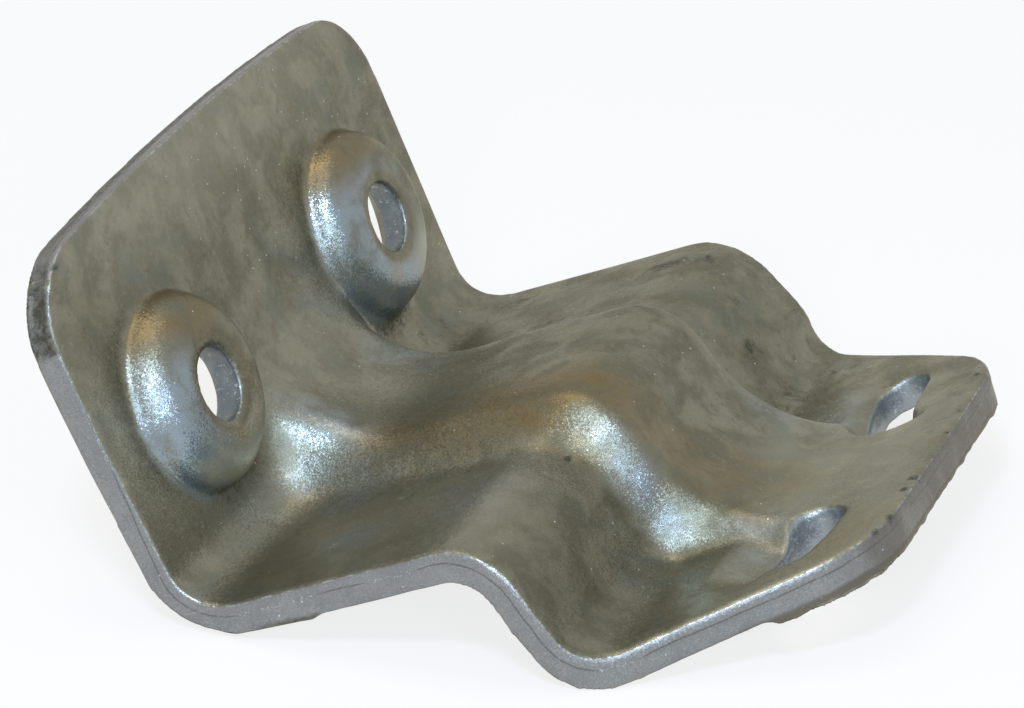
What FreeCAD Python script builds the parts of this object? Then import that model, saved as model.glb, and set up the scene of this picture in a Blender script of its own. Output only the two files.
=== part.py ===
import FreeCAD, Part
import math
import os
import Sketcher

os.makedirs("parts", exist_ok=True)
doc = FreeCAD.newDocument("StampedBracket")
V = FreeCAD.Vector

# Driving sizes of the pressing, in millimetres and degrees.
SIZES = [
    ("plate", 5.0),
    ("width", 120.0),
    ("upright_height", 58.8),
    ("top_edge_radius", 640.0),
    ("upright_corner", 14.0),
    ("shelf_reach", 50.8),
    ("step_angle", 75.0),
    ("step_drop", 23.3),
    ("flange_length", 39.6),
    ("flange_end_width", 69.0),
    ("taper_lead", 2.5),
    ("taper_blend", 16.0),
    ("flange_corner", 18.0),
    ("bend_radius", 7.0),
    ("bend_flat", 0.3),
    ("bead_rise", 6.0),
    ("bead_crown", 33.0),
    ("bead_foot", 50.0),
    ("gusset_leg", 18.0),
    ("gusset_radius", 20.0),
    ("nose_radius", 24.0),
    ("hole_spacing", 68.0),
    ("hole_height", 25.6),
    ("hole_size", 13.0),
    ("boss_size", 31.4),
    ("boss_rise", 5.9),
    ("boss_dish", 0.6),
    ("boss_lip", 2.6),
    ("dimple_entry", 4.8),
    ("dimple_round", 1.0),
    ("slot_length", 22.0),
    ("slot_width", 9.0),
    ("slot_spacing", 52.4),
    ("slot_reach", 23.8),
    ("slot_tilt", 8.0),
]

sheet = doc.addObject("Spreadsheet::Sheet", "Sizes")
S = {}
for row, (alias, value) in enumerate(SIZES, 1):
    sheet.set("A%d" % row, alias)
    sheet.set("B%d" % row, str(value))
    sheet.setAlias("B%d" % row, alias)
    S[alias] = value
doc.recompute()

body = doc.addObject("PartDesign::Body", "bracket")
body.Label = "bracket"


def origin_plane(role):
    for item in body.Origin.OriginFeatures:
        if item.Role == role:
            return item
    raise RuntimeError("no origin plane " + role)


def new_sketch(name, role):
    sk = body.newObject("Sketcher::SketchObject", name)
    sk.AttachmentSupport = [(origin_plane(role), "")]
    sk.MapMode = "FlatFace"
    return sk


def rule(sk, kind, *args, value=None, bind=None):
    """Adds one constraint; a bound one follows the sheet."""
    if value is None:
        return sk.addConstraint(Sketcher.Constraint(kind, *args))
    index = sk.addConstraint(Sketcher.Constraint(kind, *args, value))
    if bind:
        sk.setExpression("Constraints[%d]" % index, bind)
    return index


def segment(sk, a, b):
    return sk.addGeometry(Part.LineSegment(V(a[0], a[1], 0), V(b[0], b[1], 0)), False)


def arc(sk, centre, radius, start, end):
    circle = Part.Circle(V(centre[0], centre[1], 0), V(0, 0, 1), radius)
    return sk.addGeometry(Part.ArcOfCircle(circle, math.radians(start), math.radians(end)), False)


theta = math.radians(S["step_angle"])
COT = math.cos(theta) / math.sin(theta)


def skin(sk, weight, depth, radii):
    """One face of the sheet, drawn from the flange end over the step and shelf up the wall."""
    plate = depth
    edge_leg = (2 - math.sqrt(2)) * S["bend_radius"] + S["bend_flat"] / math.sqrt(2)
    leg = edge_leg + weight * (S["gusset_leg"] - edge_leg)
    rise = weight * S["bead_rise"]
    leg -= plate * math.sqrt(2)
    shelf = rise - plate
    floor = -S["step_drop"] - plate
    step = S["shelf_reach"] + (rise - plate) / math.sin(theta)
    end = S["shelf_reach"] + S["step_drop"] * COT + S["flange_length"]
    top = S["upright_height"] + 4
    corners = [
        (end, floor),
        (step - floor * COT, floor),
        (step - shelf * COT, shelf),
        (leg - shelf, shelf),
        (-plate, leg + plate),
        (-plate, top),
    ]
    headings = [180.0, 180.0 - S["step_angle"], 180.0, 135.0, 90.0]
    points = [corners[0]]
    arcs = []
    for k in range(4):
        before, after = headings[k], headings[k + 1]
        turn = abs(after - before)
        reach = radii[k] * math.tan(math.radians(turn / 2))
        cx, cy = corners[k + 1]
        a, b = math.radians(before), math.radians(after)
        p = (cx - reach * math.cos(a), cy - reach * math.sin(a))
        q = (cx + reach * math.cos(b), cy + reach * math.sin(b))
        points += [p, q]
        if after < before:
            centre = (p[0] + radii[k] * math.sin(a), p[1] - radii[k] * math.cos(a))
            arcs.append((centre, radii[k], after + 90, before + 90, 2, 1))
        else:
            centre = (p[0] - radii[k] * math.sin(a), p[1] + radii[k] * math.cos(a))
            arcs.append((centre, radii[k], before - 90, after - 90, 1, 2))
    points.append(corners[5])
    lines = []
    bends = []
    for k in range(5):
        lines.append(segment(sk, points[2 * k], points[2 * k + 1]))
        if k < 4:
            centre, radius, start, stop, enter, leave = arcs[k]
            bends.append((arc(sk, centre, radius, start, stop), enter, leave))
    for k in range(4):
        bend, enter, leave = bends[k]
        rule(sk, "Tangent", lines[k], 2, bend, enter)
        rule(sk, "Tangent", bend, leave, lines[k + 1], 1)
    return lines, [b[0] for b in bends]


def station(name, weight, offset):
    """Cross-section of the sheet at one distance from the middle; weight is how far the bead is raised."""
    sk = new_sketch(name, "XZ_Plane")
    sk.setExpression(".AttachmentOffset.Base.z", offset)
    inner = S["bend_radius"]
    nose = inner + weight * (S["nose_radius"] - inner)
    web = inner + weight * (S["gusset_radius"] - inner)
    outer = inner + S["plate"]
    up, up_bends = skin(sk, weight, 0.0, [nose, outer, web, web])
    down, down_bends = skin(sk, weight, S["plate"], [nose + S["plate"], inner, web + S["plate"], web + S["plate"]])
    foot = "Sizes.bend_radius + %g * (Sizes.nose_radius - Sizes.bend_radius)" % weight
    fill = "Sizes.bend_radius + %g * (Sizes.gusset_radius - Sizes.bend_radius)" % weight
    leg = "((2 - sqrt(2)) * Sizes.bend_radius + Sizes.bend_flat / sqrt(2))"
    leg = "(%s + %g * (Sizes.gusset_leg - %s)) / sqrt(2)" % (leg, weight, leg)
    for line in (up[0], up[2], down[0], down[2]):
        rule(sk, "Horizontal", line)
    for line in (up[4], down[4]):
        rule(sk, "Vertical", line)
    rule(sk, "Angle", up[1], value=math.pi - theta, bind="(180 - Sizes.step_angle) * 1 deg")
    rule(sk, "Angle", up[3], value=math.radians(135))
    rule(sk, "Parallel", up[1], down[1])
    rule(sk, "Parallel", up[3], down[3])
    rule(sk, "PointOnObject", up[4], 2, -2)
    rule(sk, "DistanceY", -1, 1, up[4], 2, value=S["upright_height"] + 4, bind="Sizes.upright_height + 4")
    rule(sk, "DistanceY", up[0], 1, -1, 1, value=S["step_drop"], bind="Sizes.step_drop")
    end = S["shelf_reach"] + S["step_drop"] * COT + S["flange_length"]
    rule(sk, "DistanceX", -1, 1, up[0], 1, value=end,
         bind="Sizes.shelf_reach + Sizes.step_drop / tan(Sizes.step_angle * 1 deg) + Sizes.flange_length")
    if weight:
        rule(sk, "DistanceY", -1, 1, up[2], 1, value=weight * S["bead_rise"],
             bind="%g * Sizes.bead_rise" % weight)
    else:
        rule(sk, "PointOnObject", up[2], 1, -1)
    rule(sk, "Distance", -1, 1, up[1],
         value=S["shelf_reach"] * math.sin(theta) + weight * S["bead_rise"],
         bind="Sizes.shelf_reach * sin(Sizes.step_angle * 1 deg) + %g * Sizes.bead_rise" % weight)
    edge_leg = (2 - math.sqrt(2)) * S["bend_radius"] + S["bend_flat"] / math.sqrt(2)
    rule(sk, "Distance", -1, 1, up[3],
         value=(edge_leg + weight * (S["gusset_leg"] - edge_leg)) / math.sqrt(2), bind=leg)
    for a, b in zip(up, down):
        rule(sk, "Distance", a, 1, b, value=S["plate"], bind="Sizes.plate")
    rule(sk, "Radius", up_bends[0], value=nose, bind=foot)
    rule(sk, "Radius", up_bends[1], value=outer, bind="Sizes.bend_radius + Sizes.plate")
    rule(sk, "Radius", up_bends[2], value=web, bind=fill)
    rule(sk, "Radius", up_bends[3], value=web, bind=fill)
    rule(sk, "Radius", down_bends[0], value=nose + S["plate"], bind=foot + " + Sizes.plate")
    rule(sk, "Radius", down_bends[1], value=inner, bind="Sizes.bend_radius")
    rule(sk, "Radius", down_bends[2], value=web + S["plate"], bind=fill + " + Sizes.plate")
    rule(sk, "Radius", down_bends[3], value=web + S["plate"], bind=fill + " + Sizes.plate")
    floor = -S["step_drop"]
    top = S["upright_height"] + 4
    near_cap = segment(sk, (end, floor), (end, floor - S["plate"]))
    top_cap = segment(sk, (0, top), (-S["plate"], top))
    rule(sk, "Coincident", near_cap, 1, up[0], 1)
    rule(sk, "Coincident", near_cap, 2, down[0], 1)
    rule(sk, "Coincident", top_cap, 1, up[4], 2)
    rule(sk, "Coincident", top_cap, 2, down[4], 2)
    rule(sk, "Vertical", near_cap)
    rule(sk, "Horizontal", top_cap)
    return sk


# The bead rises from the flat wings in a soft S-shaped flank, drawn as cross-sections from foot to crown.
flank = "(Sizes.bead_foot - Sizes.bead_crown) / 2"
stations = []
for name, part in (
    ("FootSection", 0.0),
    ("ToeSection", 0.12),
    ("LowFlankSection", 0.3),
    ("MidFlankSection", 0.5),
    ("HighFlankSection", 0.7),
    ("ShoulderSection", 0.88),
    ("CrownSection", 1.0),
):
    weight = round(part * part * (3 - 2 * part), 4)
    stations.append(station(name, weight, "Sizes.bead_foot / 2 - %g * %s" % (part, flank)))
doc.recompute()

wing = body.newObject("PartDesign::Pad", "Wing")
wing.Profile = stations[0]
wing.setExpression("Length", "(Sizes.width - Sizes.bead_foot) / 2")
doc.recompute()

rise = body.newObject("PartDesign::AdditiveLoft", "BeadFlank")
rise.Profile = stations[0]
rise.Sections = stations[1:]
rise.Ruled = True
rise.Refine = False
doc.recompute()

crown = body.newObject("PartDesign::Pad", "BeadCrown")
crown.Profile = stations[-1]
crown.Reversed = True
crown.Refine = False
crown.setExpression("Length", "Sizes.bead_crown / 2")
doc.recompute()

# Raised ring round each hole, pushed out of the upright from behind.
ring = new_sketch("BossProfile", "XY_Plane")
ring.setExpression(".AttachmentOffset.Base.z", "Sizes.hole_height")
ring.setExpression(".AttachmentOffset.Base.y", "-Sizes.hole_spacing / 2")
foot_r = S["boss_size"] / 2
crest_r = foot_r - S["boss_rise"]
lip = S["boss_lip"]
tip = S["boss_rise"] - S["boss_dish"]
drop = math.degrees(math.acos((lip - S["boss_dish"]) / lip))
depth = S["plate"] / 2
flank_arc = arc(ring, (0, crest_r), S["boss_rise"], 0, 90)
lip_arc = arc(ring, (S["boss_rise"] - lip, crest_r), lip, -drop, 0)
lip_end = crest_r - lip * math.sin(math.radians(drop))
land = segment(ring, (tip, lip_end), (tip, 0))
core = segment(ring, (tip, 0), (-depth, 0))
back = segment(ring, (-depth, 0), (-depth, foot_r))
side = segment(ring, (-depth, foot_r), (0, foot_r))
rule(ring, "Coincident", flank_arc, 2, side, 2)
rule(ring, "Tangent", flank_arc, 1, lip_arc, 2)
rule(ring, "Coincident", lip_arc, 1, land, 1)
rule(ring, "Coincident", land, 2, core, 1)
rule(ring, "Coincident", core, 2, back, 1)
rule(ring, "Coincident", back, 2, side, 1)
rule(ring, "Vertical", land)
rule(ring, "Horizontal", core)
rule(ring, "Vertical", back)
rule(ring, "Horizontal", side)
rule(ring, "PointOnObject", core, 1, -1)
rule(ring, "PointOnObject", flank_arc, 3, -2)
rule(ring, "PointOnObject", side, 2, -2)
rule(ring, "DistanceY", -1, 1, flank_arc, 3, value=crest_r, bind="Sizes.boss_size / 2 - Sizes.boss_rise")
rule(ring, "Radius", flank_arc, value=S["boss_rise"], bind="Sizes.boss_rise")
rule(ring, "DistanceY", -1, 1, flank_arc, 1, value=crest_r, bind="Sizes.boss_size / 2 - Sizes.boss_rise")
rule(ring, "Radius", lip_arc, value=lip, bind="Sizes.boss_lip")
rule(ring, "DistanceX", -1, 1, land, 2, value=tip, bind="Sizes.boss_rise - Sizes.boss_dish")
rule(ring, "DistanceX", back, 1, -1, 1, value=depth, bind="Sizes.plate / 2")
boss = body.newObject("PartDesign::Revolution", "Boss")
boss.Profile = ring
boss.ReferenceAxis = (ring, ["H_Axis"])
boss.Angle = 360.0
boss.Refine = False
doc.recompute()

# Matching dimple behind the boss, so that the wall keeps its thickness.
cup = new_sketch("DimpleProfile", "XY_Plane")
cup.setExpression(".AttachmentOffset.Base.z", "Sizes.hole_height")
cup.setExpression(".AttachmentOffset.Base.y", "-Sizes.hole_spacing / 2")
plate = S["plate"]
cup_r = foot_r - plate
entry = S["dimple_entry"]
curl = S["dimple_round"]
deep = tip - plate
c_axis = segment(cup, (deep, 0), (-plate - 1, 0))
c_back = segment(cup, (-plate - 1, 0), (-plate - 1, cup_r + entry))
c_edge = segment(cup, (-plate - 1, cup_r + entry), (-plate, cup_r + entry))
c_entry = segment(cup, (-plate, cup_r + entry), (-plate + entry, cup_r))
c_wall = segment(cup, (-plate + entry, cup_r), (deep - curl, cup_r))
c_round = segment(cup, (deep - curl, cup_r), (deep, cup_r - curl))
c_floor = segment(cup, (deep, cup_r - curl), (deep, 0))
rule(cup, "Coincident", c_axis, 2, c_back, 1)
rule(cup, "Coincident", c_back, 2, c_edge, 1)
rule(cup, "Coincident", c_edge, 2, c_entry, 1)
rule(cup, "Coincident", c_entry, 2, c_wall, 1)
rule(cup, "Coincident", c_wall, 2, c_round, 1)
rule(cup, "Coincident", c_round, 2, c_floor, 1)
rule(cup, "Coincident", c_floor, 2, c_axis, 1)
rule(cup, "Horizontal", c_edge)
rule(cup, "Vertical", c_back)
rule(cup, "Vertical", c_floor)
rule(cup, "Horizontal", c_wall)
rule(cup, "PointOnObject", c_axis, 1, -1)
rule(cup, "PointOnObject", c_axis, 2, -1)
rule(cup, "DistanceX", c_back, 1, -1, 1, value=plate + 1, bind="Sizes.plate + 1")
rule(cup, "DistanceX", c_edge, 2, -1, 1, value=plate, bind="Sizes.plate")
rule(cup, "DistanceY", -1, 1, c_wall, 1, value=cup_r, bind="Sizes.boss_size / 2 - Sizes.plate")
rule(cup, "DistanceY", -1, 1, c_edge, 2, value=cup_r + entry,
     bind="Sizes.boss_size / 2 - Sizes.plate + Sizes.dimple_entry")
rule(cup, "DistanceX", c_entry, 1, c_entry, 2, value=entry, bind="Sizes.dimple_entry")
rule(cup, "DistanceX", c_round, 1, c_round, 2, value=curl, bind="Sizes.dimple_round")
rule(cup, "DistanceY", c_round, 2, c_round, 1, value=curl, bind="Sizes.dimple_round")
rule(cup, "DistanceX", -1, 1, c_floor, 2, value=deep, bind="Sizes.boss_rise - Sizes.boss_dish - Sizes.plate")
dimple = body.newObject("PartDesign::Groove", "Dimple")
dimple.Profile = cup
dimple.ReferenceAxis = (cup, ["H_Axis"])
dimple.Angle = 360.0
dimple.Refine = False
doc.recompute()

# Punched round hole through the boss.
hole = new_sketch("HoleOutline", "YZ_Plane")
circle = hole.addGeometry(Part.Circle(V(-S["hole_spacing"] / 2, S["hole_height"], 0), V(0, 0, 1),
                                      S["hole_size"] / 2), False)
rule(hole, "DistanceX", circle, 3, -1, 1, value=S["hole_spacing"] / 2, bind="Sizes.hole_spacing / 2")
rule(hole, "DistanceY", -1, 1, circle, 3, value=S["hole_height"], bind="Sizes.hole_height")
rule(hole, "Diameter", circle, value=S["hole_size"], bind="Sizes.hole_size")
bore = body.newObject("PartDesign::Pocket", "Hole")
bore.Profile = hole
bore.Type = "ThroughAll"
bore.Midplane = True
bore.Refine = False
doc.recompute()

# Upright outline: a gently arched top edge that runs into a rounded corner.
trim = new_sketch("UprightTrim", "YZ_Plane")
half = S["width"] / 2
top = S["upright_height"]
big = S["top_edge_radius"]
small = S["upright_corner"]
cy = top - big
dy = math.sqrt((big - small) ** 2 - (half - small) ** 2)
corner = (-(half - small), cy + dy)
angle = math.degrees(math.atan2(dy, -(half - small)))
t_arch = arc(trim, (0, cy), big, 90, angle)
t_round = arc(trim, corner, small, angle, 180)
t_side = segment(trim, (-half, corner[1]), (-half - 5, corner[1]))
t_out = segment(trim, (-half - 5, corner[1]), (-half - 5, top + 8))
t_over = segment(trim, (-half - 5, top + 8), (0, top + 8))
t_mid = segment(trim, (0, top + 8), (0, top))
rule(trim, "Coincident", t_arch, 1, t_mid, 2)
rule(trim, "Tangent", t_arch, 2, t_round, 1)
rule(trim, "Coincident", t_round, 2, t_side, 1)
rule(trim, "Coincident", t_side, 2, t_out, 1)
rule(trim, "Coincident", t_out, 2, t_over, 1)
rule(trim, "Coincident", t_over, 2, t_mid, 1)
rule(trim, "Horizontal", t_side)
rule(trim, "Vertical", t_out)
rule(trim, "Horizontal", t_over)
rule(trim, "PointOnObject", t_mid, 1, -2)
rule(trim, "PointOnObject", t_mid, 2, -2)
rule(trim, "PointOnObject", t_arch, 3, -2)
rule(trim, "DistanceY", -1, 1, t_mid, 2, value=top, bind="Sizes.upright_height")
rule(trim, "DistanceY", -1, 1, t_mid, 1, value=top + 8, bind="Sizes.upright_height + 8")
rule(trim, "Radius", t_arch, value=big, bind="Sizes.top_edge_radius")
rule(trim, "Radius", t_round, value=small, bind="Sizes.upright_corner")
rule(trim, "DistanceX", t_round, 2, -1, 1, value=half, bind="Sizes.width / 2")
rule(trim, "Horizontal", t_round, 3, t_round, 2)
rule(trim, "DistanceX", t_side, 2, -1, 1, value=half + 5, bind="Sizes.width / 2 + 5")
upright_trim = body.newObject("PartDesign::Pocket", "UprightOutline")
upright_trim.Profile = trim
upright_trim.Type = "ThroughAll"
upright_trim.Midplane = True
upright_trim.Refine = False
doc.recompute()

# Lower flange outline: tapers from full width to the narrower end, with rounded corners.
taper = new_sketch("FlangeTrim", "XY_Plane")
root = S["shelf_reach"] + S["step_drop"] * COT
end = root + S["flange_length"]
tip_half = S["flange_end_width"] / 2
lead = root - S["taper_lead"]
slope = math.degrees(math.atan2(half - tip_half, end - lead))
blend = S["taper_blend"]
round_r = S["flange_corner"]
reach = blend * math.tan(math.radians(slope / 2))
a = math.radians(slope)
p0 = (lead - reach, -half)
p1 = (lead + reach * math.cos(a), -half + reach * math.sin(a))
turn = 90 - slope
reach2 = round_r * math.tan(math.radians(turn / 2))
p2 = (end - reach2 * math.cos(a), -tip_half - reach2 * math.sin(a))
p3 = (end, -tip_half + reach2)
f_blend = arc(taper, (p0[0], -half + blend), blend, 270, 270 + slope)
f_edge = segment(taper, p1, p2)
f_round = arc(taper, (end - round_r, p3[1]), round_r, 270 + slope, 360)
f_end = segment(taper, p3, (end + 6, p3[1]))
f_out = segment(taper, (end + 6, p3[1]), (end + 6, -half - 6))
f_side = segment(taper, (end + 6, -half - 6), (p0[0], -half - 6))
f_back = segment(taper, (p0[0], -half - 6), p0)
rule(taper, "Tangent", f_blend, 2, f_edge, 1)
rule(taper, "Tangent", f_edge, 2, f_round, 1)
rule(taper, "Coincident", f_round, 2, f_end, 1)
rule(taper, "Coincident", f_end, 2, f_out, 1)
rule(taper, "Coincident", f_out, 2, f_side, 1)
rule(taper, "Coincident", f_side, 2, f_back, 1)
rule(taper, "Coincident", f_back, 2, f_blend, 1)
rule(taper, "Horizontal", f_end)
rule(taper, "Vertical", f_out)
rule(taper, "Horizontal", f_side)
rule(taper, "Vertical", f_back)
rule(taper, "Vertical", f_blend, 3, f_blend, 1)
rule(taper, "Horizontal", f_round, 3, f_round, 2)
rule(taper, "Radius", f_blend, value=blend, bind="Sizes.taper_blend")
rule(taper, "Radius", f_round, value=round_r, bind="Sizes.flange_corner")
rule(taper, "DistanceY", f_blend, 1, -1, 1, value=half, bind="Sizes.width / 2")
rule(taper, "DistanceY", f_side, 1, -1, 1, value=half + 6, bind="Sizes.width / 2 + 6")
root_text = "(Sizes.shelf_reach + Sizes.step_drop / tan(Sizes.step_angle * 1 deg))"
rule(taper, "DistanceX", -1, 1, f_round, 2, value=end, bind=root_text + " + Sizes.flange_length")
rule(taper, "DistanceX", -1, 1, f_end, 2, value=end + 6, bind=root_text + " + Sizes.flange_length + 6")
slope_text = "atan2((Sizes.width - Sizes.flange_end_width) / 2; Sizes.flange_length + Sizes.taper_lead)"
rule(taper, "Angle", f_edge, value=a, bind=slope_text)
rule(taper, "DistanceX", -1, 1, f_blend, 1, value=p0[0],
     bind="%s - Sizes.taper_lead - Sizes.taper_blend * tan(%s / 2)" % (root_text, slope_text))
flange_trim = body.newObject("PartDesign::Pocket", "FlangeOutline")
flange_trim.Profile = taper
flange_trim.Type = "ThroughAll"
flange_trim.Midplane = True
flange_trim.Refine = False
doc.recompute()

# Punched slot in the lower flange, its long way across the width and slightly turned.
cut = new_sketch("SlotOutline", "XY_Plane")
mid = (root + S["slot_reach"], -S["slot_spacing"] / 2)
run = (S["slot_length"] - S["slot_width"]) / 2
tilt = math.radians(90 - S["slot_tilt"])
along = (math.cos(tilt), math.sin(tilt))
r = S["slot_width"] / 2
inner_end = (mid[0] + run * along[0], mid[1] + run * along[1])
outer_end = (mid[0] - run * along[0], mid[1] - run * along[1])
deg = 90 - S["slot_tilt"]
s_in = arc(cut, inner_end, r, deg - 90, deg + 90)
s_out = arc(cut, outer_end, r, deg + 90, deg + 270)
s_left = segment(cut, (inner_end[0] - r * along[1], inner_end[1] + r * along[0]),
                 (outer_end[0] - r * along[1], outer_end[1] + r * along[0]))
s_right = segment(cut, (outer_end[0] + r * along[1], outer_end[1] - r * along[0]),
                  (inner_end[0] + r * along[1], inner_end[1] - r * along[0]))
axis = cut.addGeometry(Part.LineSegment(V(outer_end[0], outer_end[1], 0), V(inner_end[0], inner_end[1], 0)), True)
centre = cut.addGeometry(Part.Point(V(mid[0], mid[1], 0)), True)
rule(cut, "Tangent", s_in, 2, s_left, 1)
rule(cut, "Tangent", s_left, 2, s_out, 1)
rule(cut, "Tangent", s_out, 2, s_right, 1)
rule(cut, "Tangent", s_right, 2, s_in, 1)
rule(cut, "Coincident", axis, 1, s_out, 3)
rule(cut, "Coincident", axis, 2, s_in, 3)
rule(cut, "Symmetric", axis, 1, axis, 2, centre, 1)
rule(cut, "Equal", s_in, s_out)
rule(cut, "Radius", s_in, value=r, bind="Sizes.slot_width / 2")
rule(cut, "Distance", axis, value=2 * run, bind="Sizes.slot_length - Sizes.slot_width")
rule(cut, "Angle", axis, value=tilt, bind="(90 - Sizes.slot_tilt) * 1 deg")
rule(cut, "DistanceX", -1, 1, centre, 1, value=mid[0], bind=root_text + " + Sizes.slot_reach")
rule(cut, "DistanceY", centre, 1, -1, 1, value=-mid[1], bind="Sizes.slot_spacing / 2")
slot = body.newObject("PartDesign::Pocket", "Slot")
slot.Profile = cut
slot.Type = "ThroughAll"
slot.Midplane = True
slot.Refine = False
doc.recompute()

mirror = body.newObject("PartDesign::Mirrored", "OtherHalf")
mirror.Originals = [wing, rise, crown, boss, dimple, bore, upright_trim, flange_trim, slot]
mirror.MirrorPlane = (origin_plane("XZ_Plane"), [""])
body.Tip = mirror
doc.recompute()

# The middle of the piece's floor outline is the part's origin; the lower flange's underside is at zero.
body.setExpression(".Placement.Base.x", "(Sizes.plate - (%s + Sizes.flange_length)) / 2" % root_text)
body.setExpression(".Placement.Base.z", "Sizes.step_drop + Sizes.plate")
doc.recompute()

for item in doc.Objects:
    if "Invalid" in item.State or "Error" in item.State:
        raise RuntimeError(item.Name + " did not build")
shape = body.Shape
if shape.isNull() or not shape.isValid() or len(shape.Solids) != 1:
    raise RuntimeError("bracket is not one valid solid")
box = shape.optimalBoundingBox(False)
print("bracket", round(box.XLength, 2), round(box.YLength, 2), round(box.ZLength, 2), "volume", round(shape.Volume))
shape.exportStep("parts/bracket.step")
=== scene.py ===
import math
import bpy
import numpy as np
from mathutils import Matrix, Vector, noise
from types import SimpleNamespace


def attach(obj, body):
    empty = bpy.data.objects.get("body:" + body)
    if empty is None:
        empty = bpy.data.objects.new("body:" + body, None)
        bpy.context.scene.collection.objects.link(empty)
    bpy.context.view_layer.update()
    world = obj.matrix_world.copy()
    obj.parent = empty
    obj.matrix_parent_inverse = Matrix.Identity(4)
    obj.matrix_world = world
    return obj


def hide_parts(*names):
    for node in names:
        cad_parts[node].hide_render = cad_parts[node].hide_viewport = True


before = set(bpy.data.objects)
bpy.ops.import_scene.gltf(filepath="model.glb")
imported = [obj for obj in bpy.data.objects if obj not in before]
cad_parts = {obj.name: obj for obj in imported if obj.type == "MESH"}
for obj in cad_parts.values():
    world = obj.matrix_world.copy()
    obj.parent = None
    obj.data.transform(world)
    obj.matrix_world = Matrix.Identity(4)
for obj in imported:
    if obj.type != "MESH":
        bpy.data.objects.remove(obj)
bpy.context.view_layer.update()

# Sizes of the pressing that the surface finish follows, in millimetres in the row frame.
PLATE = 5.0
INNER_X = -45.82
SHELF_Z = 28.3
UPRIGHT = 62.8
STEP_X = 4.98
STEP_DROP = 23.3
STEP_ANGLE = math.radians(75)
END_X = 50.82
BEND = 7.0
EDGE_FLAT = 0.3
GUSSET = 18.0
WEB = 20.0
RISE = 6.0
CROWN = 16.5
FOOT = 25.0
NOSE = 24.0
HOLE_Y = 34.0
HOLE_Z = 53.9
HOLE_R = 6.5
RING_R = 17.5
RING_FACE_X = -40.5
UPRIGHT_FRONT = -38
FLANGE_TOP = 9
SLOT_X = 35.02
SLOT_Y = 26.2
SLOT_RUN = 6.5
SLOT_R = 4.5
SLOT_TILT = math.radians(8)
REST_NORMAL = Vector((0.388, 0.0, 0.922)).normalized()

# Fineness of the mesh: the voxel in metres, and the triangles that are kept.
VOXEL = 0.00048
TRIANGLES = 190000
ARC_STEPS = 8
BEAD_LEVELS = 10

# Marks on the plate: centre, radii along x, y and z in millimetres, strength.
DENTS = (
    (50.6, -26, 5, 0.9, 1.3, 1.2, 0.25), (50.2, -16, 5, 0.8, 1.2, 1.2, 0.2),
    (50.5, -12, 5, 1.0, 0.9, 1.2, 0.25),
    (50.6, -30.5, 5, 0.9, 1.3, 1.2, 0.2), (50.6, 5, 5, 0.9, 1.2, 1.2, 0.2), (50.2, 13, 5, 0.9, 1.0, 1.2, 0.2),
    (-45.8, -56.5, 80, 1.6, 1.6, 1.8, 0.5), (-45.6, -54, 83, 1.2, 1.2, 1.2, 0.5),
)
# Brown staining with a painted warm reflection of the overhead lamp.
BROWN_STAIN_AND_SHEEN_MARKS = (
    (1, -17, 32, 8, 4, 4, 1.0), (0, -44, 27, 6, 12, 5, 0.4), (-16, -17, 33, 10, 5, 4, 0.5),
    (20, -8, 10, 8, 9, 6, 0.75), (15, -10, 16, 6, 8, 6, 0.6), (27, -5, 7, 7, 7, 4, 0.5),
    (44, -30, 5, 8, 9, 3, 0.5), (-30, -45, 28, 16, 10, 4, 0.35), (-46, -32, 38, 3, 12, 6, 0.4),
    (-40, -20, 31, 5, 6, 5, 0.45), (14, -40, 14, 5, 8, 6, 0.3), (-46, 20, 66, 3, 6, 8, 0.35),
    (-46, -50, 72, 3, 6, 6, 0.4), (30, 40, 5, 8, 6, 3, 0.3),
)
# Painted highlights: bluish-white zinc where the lamps' highlights fall on the gusset, the ridge and the
# rings.
PAINTED_HIGHLIGHT_MARKS = (
    (-37, -17, 38.5, 6, 5, 6, 1.0), (-39, -22, 33, 4, 4, 4, 0.8), (-31, -24, 30, 7, 6, 4, 0.5),
    (7, -20, 29.4, 2.5, 2, 2, 0.45), (9.8, -20.3, 26, 2.5, 2, 3.5, 0.9), (11.5, -21.5, 19, 3, 2.5, 7, 1.0),
    (13.8, -21.5, 10.5, 3, 2.5, 3.5, 1.0), (10, 23, 18, 4, 4, 12, 0.6), (17, 18, 11, 6, 7, 5, 0.6),
    (27, -27, 4, 6, 5, 3, 0.35), (26, 24, 6, 5, 9, 3, 0.4), (-3, -38, 28, 7, 14, 3, 0.35),
    (-36, 16, 37, 6, 9, 7, 0.5), (27, -19.5, 5, 5, 2.5, 3, 0.45), (-46, -30, 34, 3, 8, 6, 0.3),
    (-46, 14, 46, 3, 8, 6, 0.3), (-24, -45, 28, 6, 6, 3, 0.5),
)
# Painted shade: darker zinc in the creases and beside the highlights, which it narrows.
PAINTED_SHADE_MARKS = (
    (-18, 40, 29, 26, 26, 8, 0.46), (-8, 8, 33, 22, 16, 6, 0.42), (8, -44, 15, 9, 18, 18, 0.62),
    (8, 40, 16, 8, 16, 10, 0.29), (-46, -30, 66, 3, 30, 10, 0.17), (2, -16, 32, 8, 5, 4, 0.5),
    (-43.5, -22, 38, 3.5, 4, 6, 1.0), (-42, -25.5, 31, 4, 4, 4, 1.0), (-32, -15.5, 36, 6, 3.5, 3, 1.0),
    (3, -23.5, 28, 3, 2.5, 3, 0.9), (6, -24.5, 24, 2.5, 2.5, 4, 1.0), (9, -25.5, 16, 3, 2, 7, 1.0),
    (17.5, -17, 13, 3, 2, 4, 0.9), (21, -18.5, 7.5, 4, 4, 3, 1.0), (18, -23, 6, 4, 2.5, 3, 1.0),
    (24, -18.5, 6, 5, 4, 3, 1.0), (29, -20, 4.5, 4, 3, 3, 1.0),
)
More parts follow.
